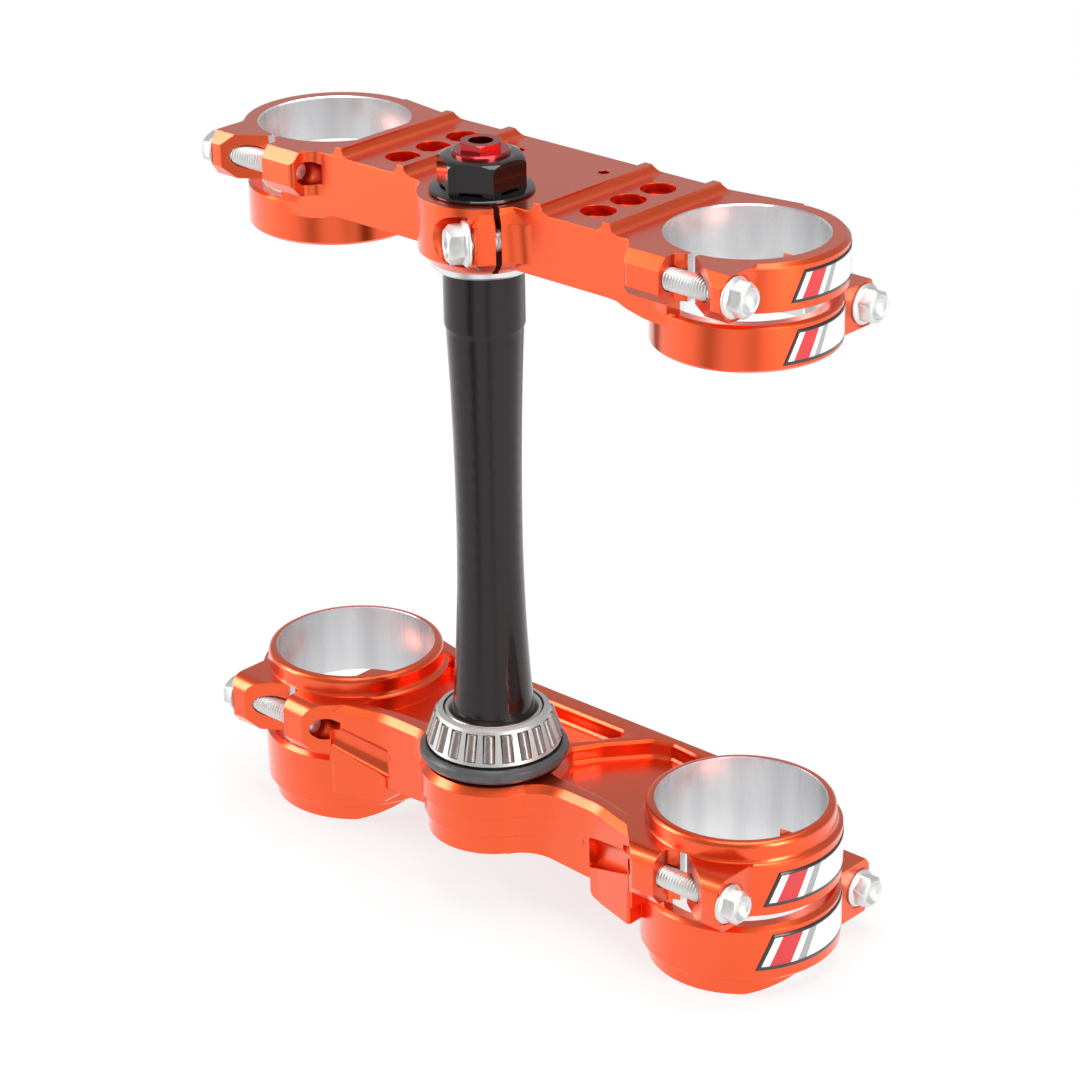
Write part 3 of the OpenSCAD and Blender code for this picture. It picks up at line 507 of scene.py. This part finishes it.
# Stickers: one on each band of the right collars, printed vinyl 0.12 mm thick that wraps round the wall. They
# are plain: a dark border, a pale field and slanting bars in red and grey.
def vinyl(name, colour):
    """Printed vinyl of one colour, with a thin clear film on top."""
    made, tree, shader, place = finish_of(name, colour, 0.0, 0.32, Coat_Weight=0.5, Coat_Roughness=0.12)
    grained(tree, shader, place, 1.6, 2.0, 0.12, 0.26)
    return made


prints = [vinyl("vinyl_dark", (0.015, 0.015, 0.017)), vinyl("vinyl_pale", (0.82, 0.82, 0.82)),
          vinyl("vinyl_red", (0.6, 0.02, 0.025)), vinyl("vinyl_grey", (0.32, 0.32, 0.33))]


def sticker(name, radius, low, high, first, last):
    """A patch of a cylinder about the right fork leg: across it the angle runs from first to last, and up it
    the height rises from low to high while the angle slants by a share of the height."""
    across = 72
    up = 10
    slant = 0.45
    u, v = np.meshgrid(np.linspace(0, 1, across + 1), np.linspace(0, 1, up + 1))
    angle = np.radians(first + (last - first) * u) + (high - low) * slant * v / radius
    outside = (radius + 0.08) * MM
    height = (low + (high - low) * v) * MM
    points = np.stack([FORK[0] + outside * np.cos(angle), FORK[1] + outside * np.sin(angle), height], axis=-1)
    index = np.arange(points.shape[0] * points.shape[1]).reshape(points.shape[:2])
    faces = np.stack([index[:-1, :-1], index[:-1, 1:], index[1:, 1:], index[1:, :-1]], axis=-1)
    column, row = np.meshgrid(np.arange(across), np.arange(up))
    border = (column < 2) | (column >= across - 2) | (row < 1) | (row >= up - 1)
    red_bar = (column > 5) & (column < 17)
    grey_bar = (column > 20) & (column < 26)
    ink = np.where(red_bar, 2, np.where(grey_bar, 3, 1))
    mesh = bpy.data.meshes.new(name)
    mesh.from_pydata(points.reshape(-1, 3).tolist(), [], faces.reshape(-1, 4).tolist())
    for print_colour in prints:
        mesh.materials.append(print_colour)
    mesh.polygons.foreach_set("material_index", np.where(border, 0, ink).ravel())
    mesh.polygons.foreach_set("use_smooth", np.ones(len(mesh.polygons), bool))
    mesh.update()
    piece = bpy.data.objects.new(name, mesh)
    bpy.context.collection.objects.link(piece)
    film = piece.modifiers.new("film", "SOLIDIFY")
    film.thickness = 0.12 * MM
    film.offset = 1
    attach(piece, "clamps")


sticker("sticker_top_upper", 33.5, 227.5, 238, -26, 44)
sticker("sticker_top_lower", 31.8, 206, 217.5, -29, 40)
sticker("sticker_bottom_upper", 35.5, 10.5, 23, -38, 44)
sticker("sticker_bottom_lower", 35.5, -14.5, -1, -42, 42)


# Pinch bolts: zinc plated M8 bolts with a flange, a dished hex head and a rolled thread. Each one is a
# single surface round its axis, from the tip to the middle of the dish.
def surface(name, points, material, body):
    """A mesh from a grid of points: rows run along the first index, and the second goes round and closes."""
    rows, around = points.shape[:2]
    index = np.arange(rows * around).reshape(rows, around)
    after = np.roll(index, -1, axis=1)
    faces = np.stack([index[:-1], after[:-1], after[1:], index[1:]], axis=-1).reshape(-1, 4)
    low = len(index.ravel())
    ends = np.concatenate([np.stack([np.full(around, low), after[0], index[0]], axis=-1),
                           np.stack([np.full(around, low + 1), index[-1], after[-1]], axis=-1)])
    middles = np.stack([points[0].mean(0), points[-1].mean(0)])
    places = np.concatenate([points.reshape(-1, 3), middles])
    mesh = bpy.data.meshes.new(name)
    mesh.from_pydata(places.tolist(), [], faces.tolist() + ends.tolist())
    mesh.polygons.foreach_set("use_smooth", np.ones(len(mesh.polygons), bool))
    mesh.materials.append(material)
    mesh.update()
    piece = bpy.data.objects.new(name, mesh)
    bpy.context.collection.objects.link(piece)
    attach(piece, body)
    return piece


def bolt_surface(length, thread_from, head=1.0):
    """Radius and height over turns and steps: a helix below the seat, a cone flange and a hex that a cone
    chamfers. The hex's radius is its half width over the cosine of the angle from the middle of the nearest
    flat. The head may be larger than the thread's usual one."""
    around = 48
    turn = np.linspace(0, 2 * np.pi, around, endpoint=False)

    def even_rings(pairs):
        """Rings that are the same all round, from pairs of radius and height."""
        return [np.repeat(column[:, None], around, axis=1) for column in np.array(pairs, float).T]

    # Thread: its tip and its end at the shank run out over a turn or so
    pitch = 1.25
    depth = 0.68
    thread_r = 3.98
    chamfer = 0.8
    heights = np.arange(-length + chamfer, -thread_from, pitch / 8)[:, None]
    phase = (heights / pitch - turn / (2 * np.pi)) % 1.0
    groove = np.clip(np.abs(phase - 0.5) * 2.6 - 0.15, 0, 1)
    from_tip = np.clip((heights + length - chamfer) / 1.5, 0, 1)
    run_out = from_tip * np.clip((-thread_from - heights) / 1.2, 0, 1)
    pointed = (1 - run_out) * 0.9 * (heights < -length + 3)
    thread = (thread_r - depth * (groove * run_out + pointed), np.repeat(heights, around, axis=1))

    # Shank and flange, then the hex, then the chamfer and the dish in the head's top
    tip = even_rings([(2.7, -length)])
    flange = even_rings([(thread_r, -thread_from + 0.3), (thread_r, -0.05), (4.05, 0.0), (6.7, 0.0),
                         (6.9, 0.06), (7.0, 0.3), (7.0, 0.8), (6.9, 1.0), (6.6, 1.2), (6.3, 1.45)])
    half_width = 5.25
    crown = 6.6
    hexagon = half_width / np.cos((turn + np.pi / 6) % (np.pi / 3) - np.pi / 6)
    hex_rings = (np.stack([hexagon + 0.1, hexagon, hexagon]),
                 np.stack([1.75 + (hexagon - half_width) * -0.3, np.full(around, 2.0),
                           crown - 0.8 - (hexagon - half_width) * 0.6]))
    dish = even_rings([(4.95, 6.15), (4.78, 6.42), (4.55, 6.57), (4.3, crown), (4.1, 6.52), (3.9, 6.3),
                       (3.6, 5.85), (3.1, 5.25), (2.4, 4.7), (1.5, 4.3), (0.7, 4.15)])
    radius, height = (np.concatenate(rows) for rows in zip(tip, thread, flange, hex_rings, dish))
    above = height >= 0
    radius = np.where(above & (radius > 4.2), radius * head, radius)
    height = np.where(above, height * head, height)
    return np.stack([radius * np.cos(turn), radius * np.sin(turn), height], axis=-1) * MM


def set_on_axis(points, seat, direction, spin):
    """Carries a surface drawn up +Z to a seat, with +Z along the direction given."""
    w = np.array(direction, float) / np.linalg.norm(direction)
    side = np.cross([0, 0, 1], w)
    side /= np.linalg.norm(side)
    up = np.cross(w, side)
    u = side * math.cos(spin) + up * math.sin(spin)
    v = up * math.cos(spin) - side * math.sin(spin)
    return points[..., :1] * u + points[..., 1:2] * v + points[..., 2:] * w + np.array(seat)


zinc, tree, shader, place = finish_of("zinc_steel", (0.8, 0.8, 0.8), 0.9, 0.4)
grain = grained(tree, shader, place, 1.1, 4.0, 0.16, 0.34)
link(tree, blend_colours(tree, grain, (0.72, 0.72, 0.71), (0.86, 0.86, 0.85)), shader, "Base Color")
fork_bolt = bolt_surface(39, 7)
# For each clamp, X of its bolts' seats, and Y and Z of the upper and the lower one
seats = (("top", 117.3, (("upper", -9.5, 233.0), ("lower", 57.5, 212.0))),
         ("bottom", 119.4, (("upper", -12.5, 17.1), ("lower", 60.5, -8.45))))
for end, seat_x, rows in seats:
    for level, seat_y, seat_z in rows:
        for side, sign in (("right", 1), ("left", -1)):
            node = f"bolt_{end}_{level}_{side}"
            seat = np.array([sign * seat_x, seat_y, seat_z]) * MM
            spin = 0.35 * sign + (0.4 if level == "upper" else 0.9)
            points = set_on_axis(fork_bolt, seat, (sign, 0, 0), spin)
            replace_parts(surface(f"{node}_threaded", points, zinc, "clamps"), node)
# The stem's pinch bolt crosses the slit in the hub at a right angle
slit_turn = math.radians(-34)
c = math.cos(slit_turn)
s = math.sin(slit_turn)
from_stem = 19.5
before_slit = 9.5
seat = np.array([c * from_stem + s * before_slit, s * from_stem - c * before_slit, 229.2]) * MM
points = set_on_axis(bolt_surface(32, 7, 1.14), seat, (s, -c, 0), 0.2)
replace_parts(surface("stem_pinch_bolt_threaded", points, zinc, "clamps"), "stem_pinch_bolt")


# Studio: a white sweep under the clamps, with soft boxes above, to the left and to the right.
# The floor looks white to the camera and still takes the shadow. Metal sees it in bands, as light and
# dark screens stand round the table, and sees a dimmer room above it.
world = bpy.data.worlds.new("studio")
world.use_nodes = True
bpy.context.scene.world = world
tree = world.node_tree
sky = tree.nodes["Background"]
seen = add(tree, "ShaderNodeLightPath", output="Is Camera Ray")
mirrored = add(tree, "ShaderNodeLightPath", output="Is Glossy Ray")
tree.links.new((seen * 0.45 - mirrored * 0.1 + 0.55).socket, sky.inputs["Strength"])
sky.inputs["Color"].default_value = (1, 1, 1, 1)

floor_mesh = bpy.data.meshes.new("floor")
reach = 4.0
foot_z = -25.5 * MM
floor_corners = [(x * reach, y * reach, foot_z) for x, y in ((-1, -1), (1, -1), (1, 1), (-1, 1))]
floor_mesh.from_pydata(floor_corners, [], [(0, 1, 2, 3)])
floor = bpy.data.objects.new("floor", floor_mesh)
bpy.context.collection.objects.link(floor)
paper, tree, shader, place = finish_of("paper", (0.9, 0.9, 0.9), 0.0, 0.9)
seen = add(tree, "ShaderNodeLightPath", output="Is Camera Ray")
mirrored = add(tree, "ShaderNodeLightPath", output="Is Glossy Ray")
x, y = parts_of(tree, place)[:2]
out = (x * x + y * y).root()
bearing = y.maths("ARCTAN2", x)


def screen(middle, half_width):
    """1 at the screen's bearing about the stem, in radians, falling evenly to 0 at its half width."""
    return (1.0 - abs(bearing - middle) / half_width).clip()


table_end = ((out - 200) / 260).clip()
bands = 1 - table_end * (screen(-1.5, 0.3) * 0.95 + screen(-0.62, 0.2) * 0.6 + screen(1.9, 0.35) * 0.8)
backdrop = ((out - 330) / 350).clip()
lit = add(tree, "ShaderNodeEmission", None, {"Color": (1, 1, 1, 1), "Strength": 1.0})
dim = add(tree, "ShaderNodeEmission", None, {"Color": (1, 1, 1, 1), "Strength": 0.12})
card = add(tree, "ShaderNodeMixShader", None, {0: bands, 1: dim, 2: lit})
white = add(tree, "ShaderNodeMixShader", None, {0: mirrored, 1: lit, 2: card})
shown = seen * (backdrop * 0.25 + 0.75) + mirrored * 0.95
mixed = add(tree, "ShaderNodeMixShader", None, {0: shown, 1: Value(tree, shader.outputs[0]), 2: white})
tree.links.new(mixed.socket, tree.nodes["Material Output"].inputs[0])
floor_mesh.materials.append(paper)


def soft_box(name, place, target, width, height, power):
    """A rectangular lamp at a place, turned to its target."""
    lamp = bpy.data.lights.new(name, "AREA")
    lamp.shape = "RECTANGLE"
    lamp.size = width
    lamp.size_y = height
    lamp.energy = power
    obj = bpy.data.objects.new(name, lamp)
    obj.location = place
    obj.rotation_euler = (Vector(target) - Vector(place)).to_track_quat("-Z", "Y").to_euler()
    bpy.context.collection.objects.link(obj)


middle = (0, 0.02, 0.12)
soft_box("overhead", (0.1, 0.1, 1.3), middle, 0.9, 0.9, 9)
soft_box("left_box", (-0.9, -0.7, 0.5), middle, 0.5, 1.0, 10)
soft_box("right_box", (1.1, -0.1, 0.45), middle, 0.4, 0.9, 8)
